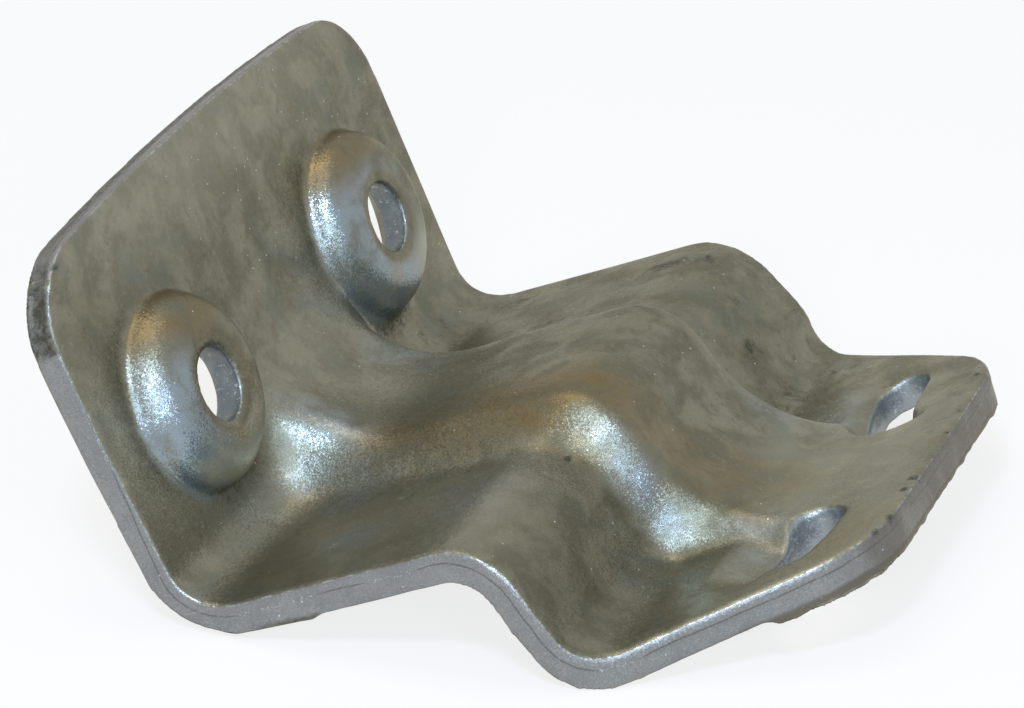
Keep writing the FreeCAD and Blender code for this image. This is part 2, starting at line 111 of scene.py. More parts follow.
# Painted lighting: lighter zinc where the surface is lit more, from the floor below and elsewhere.
PAINTED_LIGHT_MARKS = (
    (-46, 0, 42, 5, 60, 9, 0.32), (-47, -56, 56, 5, 5, 20, 0.35), (-46, 0, 84, 5, 60, 9, 0.35),
    (-42, -34, 34, 5, 24, 6, 0.35), (34, 0, 5, 13, 22, 3, 0.42), (19, 5, 6, 7, 9, 4, 0.5),
    (46, -32, 3, 20, 20, 6, 0.42), (-22, -40, 29, 16, 9, 4, 0.3), (-33, -1, 35, 7, 8, 4, 0.4),
    (0, -46, 27, 6, 12, 5, 0.3),
)
# Smudges and pits, with painted shade under the rings and in the first bend's crease.
GRIME_AND_PAINTED_SHADE = (
    (-5, 52, 28.3, 5.5, 2.6, 2, 0.75), (0, 53, 27.7, 4, 2.2, 2, 0.6), (4, 16.8, 32.4, 1.6, 1.6, 2, 0.8),
    (6.5, 45, 21.7, 3, 4.5, 3.5, 0.30), (8.6, 39, 14.7, 4, 6, 4, 0.42), (-3.2, 30.5, 28.6, 1.5, 2.2, 2, 0.75),
    (2.5, 24, 28.5, 1.2, 2.4, 2, 0.45), (4.3, -24.8, 25.8, 0.8, 0.8, 0.8, 1.0),
    (6, -13.9, 31.4, 1.0, 1.6, 1.4, 0.8), (8, 9, 28, 1.2, 4, 2, 0.6), (-21, 37.7, 28.3, 9, 2, 2, 0.45),
    (-35, 55, 28.3, 9, 4, 3, 0.4), (21, -37, 5, 8, 12, 3, 0.28), (13, 36, 6, 5, 9, 5, 0.4),
    (50.2, -26, 5, 1.1, 1.3, 1.2, 0.8), (49.4, -16, 5, 0.9, 1.0, 1.2, 0.8),
    (49.9, -12, 5, 1.3, 0.9, 1.2, 0.85), (49.6, -30.5, 5, 1.0, 1.5, 1.2, 0.7),
    (50.6, -35.2, 5, 0.9, 1.4, 1.2, 0.6), (50.3, 4.7, 5, 1.2, 0.8, 1.2, 0.7),
    (49.4, 12.8, 5, 0.8, 1.0, 1.2, 0.6), (48.2, 27.6, 5, 0.7, 1.0, 1.2, 0.7),
    (-46, -56, 81, 1.2, 1.2, 1.4, 0.9), (-46.5, -53.5, 83.5, 1.4, 1.4, 1.0, 0.9),
    (-45.6, 34, 38, 3, 11, 3.5, 0.5), (-45.6, -34, 38, 3, 11, 3.5, 0.45), (-44, 44, 30, 4, 14, 4, 0.35),
    (18, 45, 5, 6, 8, 3, 0.35),
)


def ease(lo, hi, v):
    """Smooth step from 0 at lo to 1 at hi."""
    t = np.clip((v - lo) / (hi - lo), 0, 1)
    return t * t * (3 - 2 * t)


def hill(*terms):
    """Soft hill of height 1; each term is a coordinate, the hill's centre on it and its width."""
    return np.exp(-sum(((v - centre) / width) ** 2 for v, centre, width in terms))


def marks_near(co, marks):
    """Strength of the strongest mark at each point."""
    x, y, z = co.T
    total = np.zeros(len(co))
    for mark_x, mark_y, mark_z, wide_x, wide_y, wide_z, strength in marks:
        mark = hill((x, mark_x, wide_x), (y, mark_y, wide_y), (z, mark_z, wide_z))
        total = np.maximum(total, strength * mark)
    return total


def skin_line(weight):
    """Upper face of the sheet in x and z, from the flange end to the top; weight raises the bead."""
    edge_leg = (2 - math.sqrt(2)) * BEND + EDGE_FLAT / math.sqrt(2)
    leg = edge_leg + weight * (GUSSET - edge_leg)
    rise = weight * RISE
    cot = math.cos(STEP_ANGLE) / math.sin(STEP_ANGLE)
    step = STEP_X - INNER_X + rise / math.sin(STEP_ANGLE)
    corners = [
        (END_X - INNER_X, -STEP_DROP),
        (step + STEP_DROP * cot, -STEP_DROP),
        (step - rise * cot, rise),
        (leg - rise, rise),
        (0, leg),
        (0, UPRIGHT),
    ]
    headings = [180, 105, 180, 135, 90]
    web = BEND + weight * (WEB - BEND)
    radii = [BEND + weight * (NOSE - BEND), BEND + PLATE, web, web]
    points = [corners[0]]
    for k, radius in enumerate(radii):
        a, b = math.radians(headings[k]), math.radians(headings[k + 1])
        turn = b - a
        reach = radius * math.tan(abs(turn) / 2)
        x, z = corners[k + 1]
        x -= reach * math.cos(a)
        z -= reach * math.sin(a)
        side = math.copysign(1, turn)
        cx = x - side * radius * math.sin(a)
        cz = z + side * radius * math.cos(a)
        for i in range(ARC_STEPS + 1):
            t = a + turn * i / ARC_STEPS
            points.append((cx + side * radius * math.sin(t), cz - side * radius * math.cos(t)))
    points.append(corners[-1])
    return np.array(points) + (INNER_X, SHELF_Z)


def line_depth(p, line):
    """Depth of points in x and z below a line, and the line's upward normal beside each."""
    best = np.full(len(p), 1e9)
    signed = np.zeros(len(p))
    across = np.zeros((len(p), 2))
    for a, b in zip(line[:-1], line[1:]):
        run = b - a
        length = math.hypot(*run)
        if length < 1e-6:
            continue
        run = run / length
        along = np.clip((p - a) @ run, 0, length)
        gap = p - a - along[:, None] * run
        dist = np.hypot(gap[:, 0], gap[:, 1])
        up = np.array((run[1], -run[0]))
        near = dist < best
        best[near] = dist[near]
        signed[near] = -(gap @ up)[near]
        across[near] = up
    return signed, across


def sheet_depth(co):
    """Depth of each point below the sheet's upper face, and the direction across the sheet there."""
    depth = np.full(len(co), 99.0)
    normal = np.zeros((len(co), 3))
    weight = ease(FOOT, CROWN, np.abs(co[:, 1]))
    level = np.round(weight * BEAD_LEVELS).astype(int)
    for k in range(BEAD_LEVELS + 1):
        pick = np.nonzero(level == k)[0]
        if not len(pick):
            continue
        depth[pick], across = line_depth(co[pick][:, (0, 2)], skin_line(k / BEAD_LEVELS))
        normal[pick, 0] = across[:, 0]
        normal[pick, 2] = across[:, 1]
    return depth, normal


def slot_gap(co):
    """Distance outside the nearer slot's outline, and places toward the bead and along the slot."""
    x = co[:, 0] - SLOT_X
    y = co[:, 1] * np.sign(co[:, 1]) - SLOT_Y
    along = y * math.cos(SLOT_TILT) - x * math.sin(SLOT_TILT)
    over = x * math.cos(SLOT_TILT) + y * math.sin(SLOT_TILT)
    beyond = along - np.clip(along, -SLOT_RUN, SLOT_RUN)
    return np.hypot(beyond, over) - SLOT_R, -over, along


def masks(co, nor):
    """Where the sheared faces are, and how each point lies to the sheet, the holes and the slots."""
    x, y, z = co.T
    depth, across = sheet_depth(co)
    facing = np.abs((nor * across).sum(1))
    hole_r = np.hypot(np.abs(y) - HOLE_Y, z - HOLE_Z)
    upright = x < UPRIGHT_FRONT
    bore = ease(HOLE_R + 0.9, HOLE_R + 0.2, hole_r) * upright
    bore = bore * ease(0.75, 0.4, np.abs(nor[:, 0]))
    gap, bead_side, along = slot_gap(co)
    flange = z < FLANGE_TOP
    slot = ease(1.0, 0.3, gap) * flange * ease(0.85, 0.5, np.abs(nor[:, 2]))
    rim = ease(0.8, 0.45, facing) * (depth > -1) * (depth < PLATE + 1)
    # The outer edge has no part of the rings, of the bead's faces or of the slots.
    rim[(hole_r < RING_R) & upright] = 0
    rim[(np.abs(y) < 12) & ~((x > 46) | (z > 80))] = 0
    rim = rim * ((gap > 1.2) | ~flange)
    rim[(np.abs(y) < 56) & (z < 82) & (z > 6)] = 0
    rim[(np.abs(y) < 30) & (x < 44) & (z < 80)] = 0
    return {
        "depth": depth, "across": across, "down": np.clip(depth / PLATE, 0, 1),
        "rim": rim, "bore": bore, "slot": slot, "cut": np.clip(rim + slot + bore, 0, 1),
        "gap": gap, "bead_side": bead_side, "along": along, "hole_r": hole_r,
    }


def neighbours(mesh):
    """Both ends of every edge, both ways round, and how many edges each vertex has."""
    edges = np.empty(len(mesh.edges) * 2, dtype=np.int64)
    mesh.edges.foreach_get("vertices", edges)
    edges = edges.reshape(-1, 2)
    a = np.concatenate((edges[:, 0], edges[:, 1]))
    b = np.concatenate((edges[:, 1], edges[:, 0]))
    return a, b, np.bincount(a, minlength=len(mesh.vertices)).astype(float)


def relax(co, links, amount, rounds):
    """Evens out the surface where amount is above zero, as drawn metal flows round a die."""
    a, b, count = links
    keep = amount[a] > 1e-4
    a, b = a[keep], b[keep]
    co = co.copy()
    for _ in range(rounds):
        mean = np.empty_like(co)
        for k in range(co.shape[1]):
            mean[:, k] = np.bincount(a, weights=co[b, k], minlength=len(co)) / count
        co += (mean - co) * amount[:, None]
    return co


def wander(co, size, seed):
    """Smooth noise over the piece; size is the width of its features in millimetres."""
    shift = Vector((seed * 7.3, seed * 3.1, seed * 5.7))
    out = np.empty(len(co))
    for i, c in enumerate(co / size):
        out[i] = noise.noise(Vector(c) + shift)
    return out


def read(items, what):
    data = np.empty(len(items) * 3, dtype=np.float32)
    items.foreach_get(what, data)
    return data.reshape(-1, 3).astype(float)


def place(mesh, co):
    mesh.vertices.foreach_set("co", (co / 1000).astype(np.float32).ravel())
    mesh.update()


def apply_modifiers(piece):
    deps = bpy.context.evaluated_depsgraph_get()
    mesh = bpy.data.meshes.new_from_object(piece.evaluated_get(deps))
    piece.modifiers.clear()
    old = piece.data
    piece.data = mesh
    bpy.data.meshes.remove(old)


def fine_copy(node):
    """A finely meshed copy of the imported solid."""
    piece = bpy.data.objects.new("pressed_plate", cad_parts[node].data.copy())
    bpy.context.scene.collection.objects.link(piece)
    piece.data.materials.clear()
    remesh = piece.modifiers.new("fine", "REMESH")
    remesh.mode = "VOXEL"
    remesh.voxel_size = VOXEL
    apply_modifiers(piece)
    return piece


def soften(mesh, links):
    """Rounds the bead, its gusset and its nose, which have no crisp lines, and the rings a little less."""
    co = read(mesh.vertices, "co") * 1000
    co = relax(co, links, np.full(len(co), 0.5), 6)
    place(mesh, co)
    m = masks(co, read(mesh.vertex_normals, "vector"))
    x, y, z = co.T
    bead = ease(31, 27, np.abs(y)) * ease(27, 20, x) * ease(60, 52, z)
    bead *= 1 - ease(19, 16, m["hole_r"]) * (x < UPRIGHT_FRONT)
    bead *= ease(1.0, 3.5, m["gap"]) * (1 - 0.85 * ease(-2, 8, x))
    co = relax(co, links, 0.5 * bead, 70)
    x, y, z = co.T
    root = ease(-47, -44, x) * ease(-18, -27, x) * ease(32, 27, np.abs(y)) * ease(58, 50, z)
    co = relax(co, links, 0.5 * root * ease(14.5, RING_R, m["hole_r"]), 170)
    upright = co[:, 0] < UPRIGHT_FRONT
    ring = ease(RING_R, 15, m["hole_r"]) * upright * ease(HOLE_R + 0.8, HOLE_R + 2.2, m["hole_r"])
    co = relax(co, links, 0.5 * ring, 5)
    place(mesh, co)
    return co, m


def draw_slots(move, co, m):
    """Pressing the step drew the slots along and dished their edges; punching left a burr under them."""
    x, y, z = co.T
    flat = (z < 14) & (x > 20)
    near_one = y < 0
    out, gap, down = m["along"], m["gap"], m["down"]
    # The far slot is drawn toward the bead, the near one shut at its outer end.
    shut = 2.3 * ease(-2, 8, out) * ease(6.0, 0.5, gap)
    hug = ease(4.5, 0.5, gap)
    move[:, 1] += np.where(near_one, shut, -1.3 * hug) * flat
    # The edge on the bead's side is dished down into the slot, widest on the near one.
    far_end = np.where(near_one, 0, 0.8 * ease(-6, -9, out))
    toward = np.maximum(ease(-1.0, 3.5, m["bead_side"]), far_end)
    reach = np.where(near_one, 1.6 + 6.4 * toward, 1.2 + 2.4 * toward)
    near_dish = 2.7 * ease(-7.0, -1.5, out) * ease(18, 10, out)
    far_dish = 0.9 + 1.1 * ease(0, -8, out)
    dip = np.where(near_one, near_dish, far_dish) * (0.12 + 0.88 * toward)
    dip = dip * ease(1, 0, np.clip(gap, 0, 99) / reach)
    move[:, 2] -= np.where(flat, dip * (1 - down), 0)
    # The burr lies a little inside the outline.
    under = ease(1.7, 0.5, gap) * ease(3.4, 4.7, m["depth"]) * flat
    move[:, 2] -= (np.where(near_one, 1.15, 0.6) + 0.25 * wander(co, 3, 8)) * under
    inset = 0.5 * np.clip(m["bead_side"] / SLOT_R, -1, 1)
    move[:, 0] += inset * ease(2.5, 0.3, gap) * down * flat
    # The far slot's edge away from the bead has crept in a little.
    creep = ease(0.0, 4.0, -m["bead_side"]) * ease(9, -5, out) * ease(-11, -7, out) * ~near_one
    move[:, 0] -= 0.8 * creep * hug * flat


def fill_shoulders(move, co, m):
    """The bead's near shoulder is fuller on the step, and so is the gusset."""
    x, y, z = co.T
    step = hill((y, -20, 6), (z, 20, 9), (x, 10, 7))
    move[:, 0] += 2.2 * step * (m["depth"] < PLATE + 1)
    gusset = hill((x, -38, 9), (y, -17, 8), (z, 37, 9))
    move[:, 0] += 1.3 * gusset
    move[:, 2] += 0.6 * gusset


def bulge_sides(move, co):
    """The step's sides bulge where the metal was squeezed, and its far side leans out at the foot."""
    x, y, z = co.T
    hump = hill((x, 7.5, 8), (z, 16, 9)) * ease(46, 59, np.abs(y))
    move[:, 1] += np.sign(y) * 0.9 * hump
    far_foot = hill((x, 11, 6), (z, 12.5, 5)) * ease(36, 57, y)
    move[:, 0] += 1.1 * far_foot
    move[:, 1] += 0.5 * far_foot
    move[:, 1] += 1.2 * ease(30, 58, y) * ease(-46, -38, x) * ease(4, -6, x)


def lean_upright(move, co, m):
    """The near side of the upright leans back, and the first bend's heel is squeezed thinner there."""
    x, y, z = co.T
    lean = (1.75 * ease(22, 74, z) - 1.3 * ease(73, 88, z)) * ease(0, -60, y)
    move[:, 0] -= lean * ease(UPRIGHT_FRONT, -44, x)
    squeeze = ease(-22, -43, x) * ease(56, 31, z) * m["down"] * ease(-30, -57, y)
    move[:, 0] += 0.7 * squeeze
    move[:, 2] += 0.7 * squeeze


def draw_lips(move, co, m):
    """The holes' lips are drawn up, in at the front and slightly out at the back."""
    x, y, z = co.T
    upright = (x < -36) & (z > 38)
    move[:, 0] += 0.6 * ease(10.5, 7.2, m["hole_r"]) * ease(-46.5, RING_FACE_X, x) * upright
    inward = 0.9 * ease(-44.5, RING_FACE_X, x) - 0.35 * ease(-46, -49, x)
    inward = inward * ease(9.5, 6.9, m["hole_r"]) * upright
    inward = inward / np.maximum(m["hole_r"], 3)
    move[:, 1] -= (y - np.sign(y) * HOLE_Y) * inward
    move[:, 2] -= (z - HOLE_Z) * inward


def add_burrs(move, co, m, skirt):
    """A burr hangs below the flange's slightly crowned end, and a finer one along the near side."""
    x, y, z = co.T
    move[:, 0] -= 0.3 * np.clip(np.abs(y) / 28, 0, 1.25) ** 2 * ease(36, 50, x)
    low = skirt * ease(3.3, 4.8, m["depth"])
    burr = low * ease(33.5, 36.0, x + 0.5 * wander(co, 3, 6)) * (z < FLANGE_TOP)
    hang = 1.1 - 0.5 * ease(25, 40, y) + 0.6 * ease(0, -34, y) + 0.45 * wander(co, 3, 7)
    move[:, 2] -= burr * hang
    move[:, 0] -= 1.3 * skirt * m["down"] * ease(24, 38, y) * ease(44, 48, x)
    thin = low * ease(-50, -57, y) * (z < 44) * ease(36.0, 33.5, x)
    heel = ease(-44, -40, x) * ease(-24, -27, x)
    move -= m["across"] * (thin * (0.35 + 0.7 * heel + 0.15 * wander(co, 3, 9)))[:, None]


def wear_surface(move, co, nor, m):
    """Torn bands on punched faces, the unevenness of dipped plate, dents and the bruised corner."""
    # A smooth burnished band comes first, then a rougher torn one slightly inside it.
    depth = np.where(m["bore"] > 0.1, RING_FACE_X - co[:, 0], m["depth"])
    rough = wander(co, 1.6, 1) * 0.5 + wander(co, 0.7, 2) * 0.5
    torn = ease(1.8, 2.3, depth + 0.4 * wander(co, 5, 3))
    move -= nor * (m["cut"] * torn * (0.09 + 0.10 * rough))[:, None]
    swell = wander(co, 22, 4) * 0.10 + wander(co, 7, 5) * 0.045
    move += nor * (swell * (1 - m["cut"]))[:, None]
    move -= nor * marks_near(co, DENTS)[:, None]
    blow = Vector((-0.25, -0.80, 0.55)).normalized()
    scoop = m["rim"] * ease(1.5, 2.6, m["depth"]) * ease(71.5, 72.6, co[:, 2]) * ease(-50, -55, co[:, 1])
    move -= np.array(blow) * (0.9 * scoop)[:, None]


def pressed_copy(node):
    """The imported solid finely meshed, and shaped on as the press, the punch and use have left it."""
    piece = fine_copy(node)
    mesh = piece.data
    links = neighbours(mesh)
    co, m = soften(mesh, links)
    nor = read(mesh.vertex_normals, "vector")
    skirt = np.clip(1.8 * relax(m["rim"][:, None], links, np.full(len(co), 0.7), 8)[:, 0], 0, 1)

    move = np.zeros_like(co)
    draw_slots(move, co, m)
    fill_shoulders(move, co, m)
    bulge_sides(move, co)
    lean_upright(move, co, m)
    draw_lips(move, co, m)
    add_burrs(move, co, m, skirt)
    wear_surface(move, co, nor, m)
    place(mesh, relax(co + move, links, np.full(len(co), 0.4), 1))

    count = sum(len(p.vertices) - 2 for p in mesh.polygons)
    if count > TRIANGLES:
        thin = piece.modifiers.new("thin", "DECIMATE")
        thin.ratio = TRIANGLES / count
        apply_modifiers(piece)
    polygons = piece.data.polygons
    polygons.foreach_set("use_smooth", np.ones(len(polygons), dtype=bool))
    return piece


plate = pressed_copy("bracket")
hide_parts("bracket")
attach(plate, "root")


def stain_and_sheen_mask(co, m, crest):
    """Brown staining and a painted warm reflection of the overhead lamp, along the bead's near shoulder and
    over the top of the rings.
    """
    x, y, z = co.T
    front = ease(0.0, 0.5, -m["depth"] + 1.2) * (m["depth"] < 1.5)
    crown = ease(-27, -19, y) * ease(0, -13, y) * ease(-40, -24, x) * ease(19, 6, x) * front
    stain_and_warm_sheen = crown * (0.62 + 0.38 * ease(-20, 2, x))
    # The tops of the rings take a painted warm reflection of the overhead lamp.
    upper = ease(3.5, 11, z - HOLE_Z - 0.25 * (y - np.sign(y) * HOLE_Y))
    stain_and_warm_sheen = np.maximum(stain_and_warm_sheen, 0.7 * crest * upper)
    collar = ease(6.9, 7.4, m["hole_r"]) * ease(9.8, 8.4, m["hole_r"]) * (x > -44) * (x < -36)
    stain_and_warm_sheen = np.maximum(stain_and_warm_sheen, 0.5 * collar)
    return np.maximum(stain_and_warm_sheen, marks_near(co, BROWN_STAIN_AND_SHEEN_MARKS))


def painted_highlight_mask(co, crest):
    """Painted highlights, paler and bluer, on the gusset, the ridge and the rings' near flanks."""
    y = co[:, 1]
    flank = np.where(y > 0, ease(12, -2, y - HOLE_Y), ease(0, -9, y + HOLE_Y))
    return np.maximum(marks_near(co, PAINTED_HIGHLIGHT_MARKS), crest * ease(13, 5, co[:, 2] - HOLE_Z) * flank)


def painted_fill_light(co, m, crest):
    """Painted lighting: lighter in the slots and on the undersides of the rings, as if lit from the floor
    below, low on the upright and in the listed patches.
    """
    painted_light = np.maximum(marks_near(co, PAINTED_LIGHT_MARKS), 0.5 * m["slot"])
    under_ring = crest * ease(-2, -9, co[:, 2] - HOLE_Z) * np.where(co[:, 1] > 0, 0.8, 1.0)
    return np.maximum(painted_light, under_ring)


def torn_faces(co, nor, m):
    """Torn metal on the near upper corner, the top edge and the heel's burr, and the corner alone."""
    x, y, z = co.T
    corner = ease(1.9, 2.4, m["depth"]) * ease(71.6, 72.4, z)
    bruise = corner * ease(-54, -56, y) * (nor[:, 0] > -0.75)
    torn = np.maximum(m["rim"] * corner * ease(-50, -54, y), bruise)
    top = m["rim"] * ease(84, 87, z + 0.02 * np.abs(y)) * ease(1.5, 3.0, m["depth"])
    torn = np.maximum(torn, 0.8 * top)
    heel = ease(-44, -40, x) * ease(-23, -26, x) * (y < -50)
    return np.maximum(torn, m["rim"] * ease(4.6, 5.0, m["depth"]) * heel), bruise


def finish_and_painted_lighting_masks(co, nor):
    """Where the finish, the painted lighting and the painted shade differ, for each value that the material
    reads from the vertices.
    """
    x, y, z = co.T
    m = masks(co, nor)
    ring = ease(17.6, 15.8, m["hole_r"]) * ease(HOLE_R + 0.5, HOLE_R + 2, m["hole_r"])
    crest = ring * (x > -45.6 - 1.2 * ease(0, -50, y)) * (x < UPRIGHT_FRONT)
    torn, bruise = torn_faces(co, nor, m)
    inside = np.clip(m["slot"] + m["bore"], 0, 1)
    return {
        "stain_and_warm_sheen": stain_and_sheen_mask(co, m, crest),
        "painted_highlight": painted_highlight_mask(co, crest),
        "grime_and_shade": marks_near(co, GRIME_AND_PAINTED_SHADE),
        "cut": np.maximum(m["cut"], bruise),
        "deep": np.where(inside > 0.1, 2.7, m["depth"]),
        "foot": ease(20, 34, x) * ease(30, 20, z),
        "torn": torn,
        "inside": inside,
        "tail": m["rim"] * ease(46.5, 48.5, x),
        "painted_shade": marks_near(co, PAINTED_SHADE_MARKS),
        "painted_light": painted_fill_light(co, m, crest),
    }


co = read(plate.data.vertices, "co") * 1000
nor = read(plate.data.vertex_normals, "vector")
for name, values in finish_and_painted_lighting_masks(co, nor).items():
    layer = plate.data.attributes.new(name, "FLOAT", "POINT")
    layer.data.foreach_set("value", np.clip(values, -20, 20).astype(np.float32))


class Nodes:
    """Short helpers to build a node tree."""

    def __init__(self, tree):
        self.tree = tree
        tree.nodes.clear()

    def new(self, kind, **values):
        node = self.tree.nodes.new(kind)
        for key, value in values.items():
            setattr(node, key, value)
        return node

    def link(self, a, b):
        self.tree.links.new(a, b)

    def put(self, socket, value):
        if isinstance(value, bpy.types.NodeSocket):
            self.link(value, socket)
        else:
            socket.default_value = value

    def math(self, operation, a, b, clamp=False):
        node = self.new("ShaderNodeMath", operation=operation, use_clamp=clamp)
        self.put(node.inputs[0], a)
        self.put(node.inputs[1], b)
        return node.outputs[0]

    def plus(self, a, b):
        return self.math("ADD", a, b)

    def times(self, a, b, clamp=False):
        return self.math("MULTIPLY", a, b, clamp)

    def swing(self, value, amount):
        """A texture's swing about its middle, made amount times as large."""
        return self.times(self.math("SUBTRACT", value, 0.5), amount)

    def vector(self, operation, a, b=None):
        node = self.new("ShaderNodeVectorMath", operation=operation)
        self.put(node.inputs[0], a)
        if b is not None:
            self.put(node.inputs["Scale" if operation == "SCALE" else 1], b)
        return node.outputs[0]

    def ramp(self, value, lo, hi, out_lo=0.0, out_hi=1.0):
        node = self.new("ShaderNodeMapRange", interpolation_type="SMOOTHSTEP")
        self.put(node.inputs["Value"], value)
        self.put(node.inputs["From Min"], lo)
        self.put(node.inputs["From Max"], hi)
        self.put(node.inputs["To Min"], out_lo)
        self.put(node.inputs["To Max"], out_hi)
        return node.outputs["Result"]

    def mix(self, factor, a, b):
        node = self.new("ShaderNodeMix", data_type="RGBA")
        self.put(node.inputs[0], factor)
        self.put(node.inputs[6], a)
        self.put(node.inputs[7], b)
        return node.outputs[2]

    def noise(self, place, scale, detail=3.0, rough=0.55, warp=0.0):
        node = self.new("ShaderNodeTexNoise")
        self.link(place, node.inputs["Vector"])
        node.inputs["Scale"].default_value = scale
        node.inputs["Detail"].default_value = detail
        node.inputs["Roughness"].default_value = rough
        node.inputs["Distortion"].default_value = warp
        return node.outputs["Fac"]

    def cells(self, place, scale):
        node = self.new("ShaderNodeTexVoronoi", feature="F1")
        self.link(place, node.inputs["Vector"])
        node.inputs["Scale"].default_value = scale
        return node

    def stretch(self, place, scale, turn=(0, 0, 0)):
        node = self.new("ShaderNodeMapping")
        self.link(place, node.inputs["Vector"])
        node.inputs["Scale"].default_value = scale
        node.inputs["Rotation"].default_value = turn
        return node.outputs["Vector"]

    def split(self, colour):
        node = self.new("ShaderNodeSeparateColor")
        self.link(colour, node.inputs[0])
        return node.outputs[0]

    def attribute(self, name):
        node = self.new("ShaderNodeAttribute", attribute_name=name)
        return node.outputs["Fac"]


# Colours of the finish, in pairs where a texture runs from the first to the second.
ZINC = ((0.156, 0.149, 0.103, 1), (0.253, 0.245, 0.181, 1))
ZINC_BROAD = (0.192, 0.176, 0.122, 1)
ZINC_SPECK = (0.32, 0.32, 0.27, 1)
ZINC_PIT = (0.075, 0.072, 0.052, 1)
ZINC_GREEN = (0.158, 0.172, 0.142, 1)
ZINC_PAINTED_SHADE = ((0.092, 0.086, 0.053, 1), (0.150, 0.141, 0.094, 1))
ZINC_PAINTED_LIGHT = (0.520, 0.505, 0.395, 1)
BROWN_STAIN_AND_SHEEN = (0.180, 0.128, 0.052, 1)
ZINC_PAINTED_HIGHLIGHT = (0.28, 0.335, 0.37, 1)
DIRT_AND_SHADE_COLOUR = (0.050, 0.050, 0.046, 1)
SHEARED = ((0.225, 0.227, 0.222, 1), (0.300, 0.303, 0.298, 1))
SHEARED_WARM = (0.255, 0.245, 0.235, 1)
SHEARED_LINE = (0.080, 0.080, 0.078, 1)
SHEARED_GLINT = (0.62, 0.64, 0.66, 1)
SHEARED_STRIP = (0.135, 0.118, 0.088, 1)
SHEARED_DIRT_AND_SHADE = (0.07, 0.065, 0.058, 1)
TORN = ((0.062, 0.056, 0.040, 1), (0.165, 0.155, 0.125, 1))
HOLLOW = ((0.150, 0.170, 0.178, 1), (0.270, 0.290, 0.296, 1))
HOLLOW_PAINTED_LIGHT = (0.42, 0.46, 0.47, 1)
HOLLOW_PAINTED_GLINT = (0.60, 0.64, 0.66, 1)
LIP_PAINTED_HIGHLIGHT = (0.60, 0.63, 0.65, 1)
DUST = (0.72, 0.72, 0.68, 1)
SCRATCH = (0.40, 0.41, 0.41, 1)
METAL_TINT = (0.78, 0.75, 0.66, 1)
# Each set of scratches: how far the texture is stretched along each axis, and how it is turned.
SCRATCH_SETS = (
    ((0.02, 2.4, 2.4), (0.2, 0.1, 0.5)),
    ((0.03, 3.0, 3.0), (0.9, -0.3, -0.7)),
    ((0.025, 2.8, 2.8), (0, 0.6, 1.7)),
)


def zinc_textures(n):
    """Textures that several parts of the finish share, all laid out in millimetres."""
    place = n.new("ShaderNodeTexCoord").outputs["Object"]
    mm = n.stretch(place, (1000, 1000, 1000))
    cloud = n.noise(mm, 0.15, 5, 0.60, 0.35)
    streak = n.noise(n.stretch(mm, (0.05, 0.30, 0.16), (0, 0, 0.35)), 1.0, 3, 0.7, 0.5)
    return SimpleNamespace(
        mm=mm,
        broad=n.noise(mm, 0.035, 4, 0.6, 0.6),
        cloud=cloud,
        speck=n.noise(mm, 0.85, 4, 0.7),
        grain=n.noise(mm, 3.2, 2, 0.6),
        tone=n.plus(n.times(cloud, 0.96), n.times(streak, 0.04)),
    )


def dirt_and_shade_mask(n, t):
    """Smudges, with painted shade under the rings and in the first bend's crease, with a blotchy edge."""
    grime_and_shade = n.attribute("grime_and_shade")
    blot = n.plus(grime_and_shade, n.swing(n.noise(t.mm, 0.5, 4, 0.75, 0.8), 1.5))
    return n.times(n.ramp(blot, 0.26, 0.74), n.ramp(grime_and_shade, 0.04, 0.3), True)


def painted_highlight_weight(n, t):
    """Where a painted highlight makes the zinc bright and bluish."""
    grain = n.ramp(n.plus(t.tone, n.times(t.grain, 0.3)), 0.48, 0.78, 0.30, 1.0)
    return n.times(n.attribute("painted_highlight"), grain, True)


def zinc_coat(n, t, highlight_paint, dirt_and_shade):
    """The mottled coat: a warm grey with specks and pits, greener in places, darker with painted shade,
    lighter with painted lighting, browner with staining and a painted warm reflection, bluer with painted
    highlights, and with smudges that hold painted shade.
    """
    body = n.mix(n.ramp(t.tone, 0.38, 0.62), *ZINC)
    body = n.mix(n.ramp(t.broad, 0.35, 0.65, 0.0, 0.40), body, ZINC_BROAD)
    body = n.mix(n.ramp(t.speck, 0.54, 0.70, 0.0, 0.40), body, ZINC_SPECK)
    body = n.mix(n.ramp(t.speck, 0.44, 0.30, 0.0, 0.45), body, ZINC_PIT)
    drift = n.noise(t.mm, 0.075, 3, 0.6, 1.2)
    body = n.mix(n.ramp(drift, 0.5, 0.66, 0.0, 0.60), body, ZINC_GREEN)
    # Painted shade: a darker copy of the zinc.
    painted_shade = n.mix(n.ramp(t.tone, 0.38, 0.62), *ZINC_PAINTED_SHADE)
    body = n.mix(n.times(n.attribute("painted_shade"), 0.9), body, painted_shade)
    # Painted lighting: a lighter, lit copy of the zinc.
    body = n.mix(n.times(n.attribute("painted_light"), 0.75), body, ZINC_PAINTED_LIGHT)
    blotch = n.ramp(n.plus(t.cloud, n.times(t.grain, 0.25)), 0.44, 0.76, 0.25, 1.0)
    # Brown staining with a painted warm reflection.
    body = n.mix(n.times(n.attribute("stain_and_warm_sheen"), blotch, True), body, BROWN_STAIN_AND_SHEEN)
    # Painted highlight: bluish-white zinc where the lamps' highlights fall.
    body = n.mix(highlight_paint, body, ZINC_PAINTED_HIGHLIGHT)
    # Smudges, with painted shade under the rings and in the first bend's crease.
    return n.mix(n.times(dirt_and_shade, 0.85), body, DIRT_AND_SHADE_COLOUR)


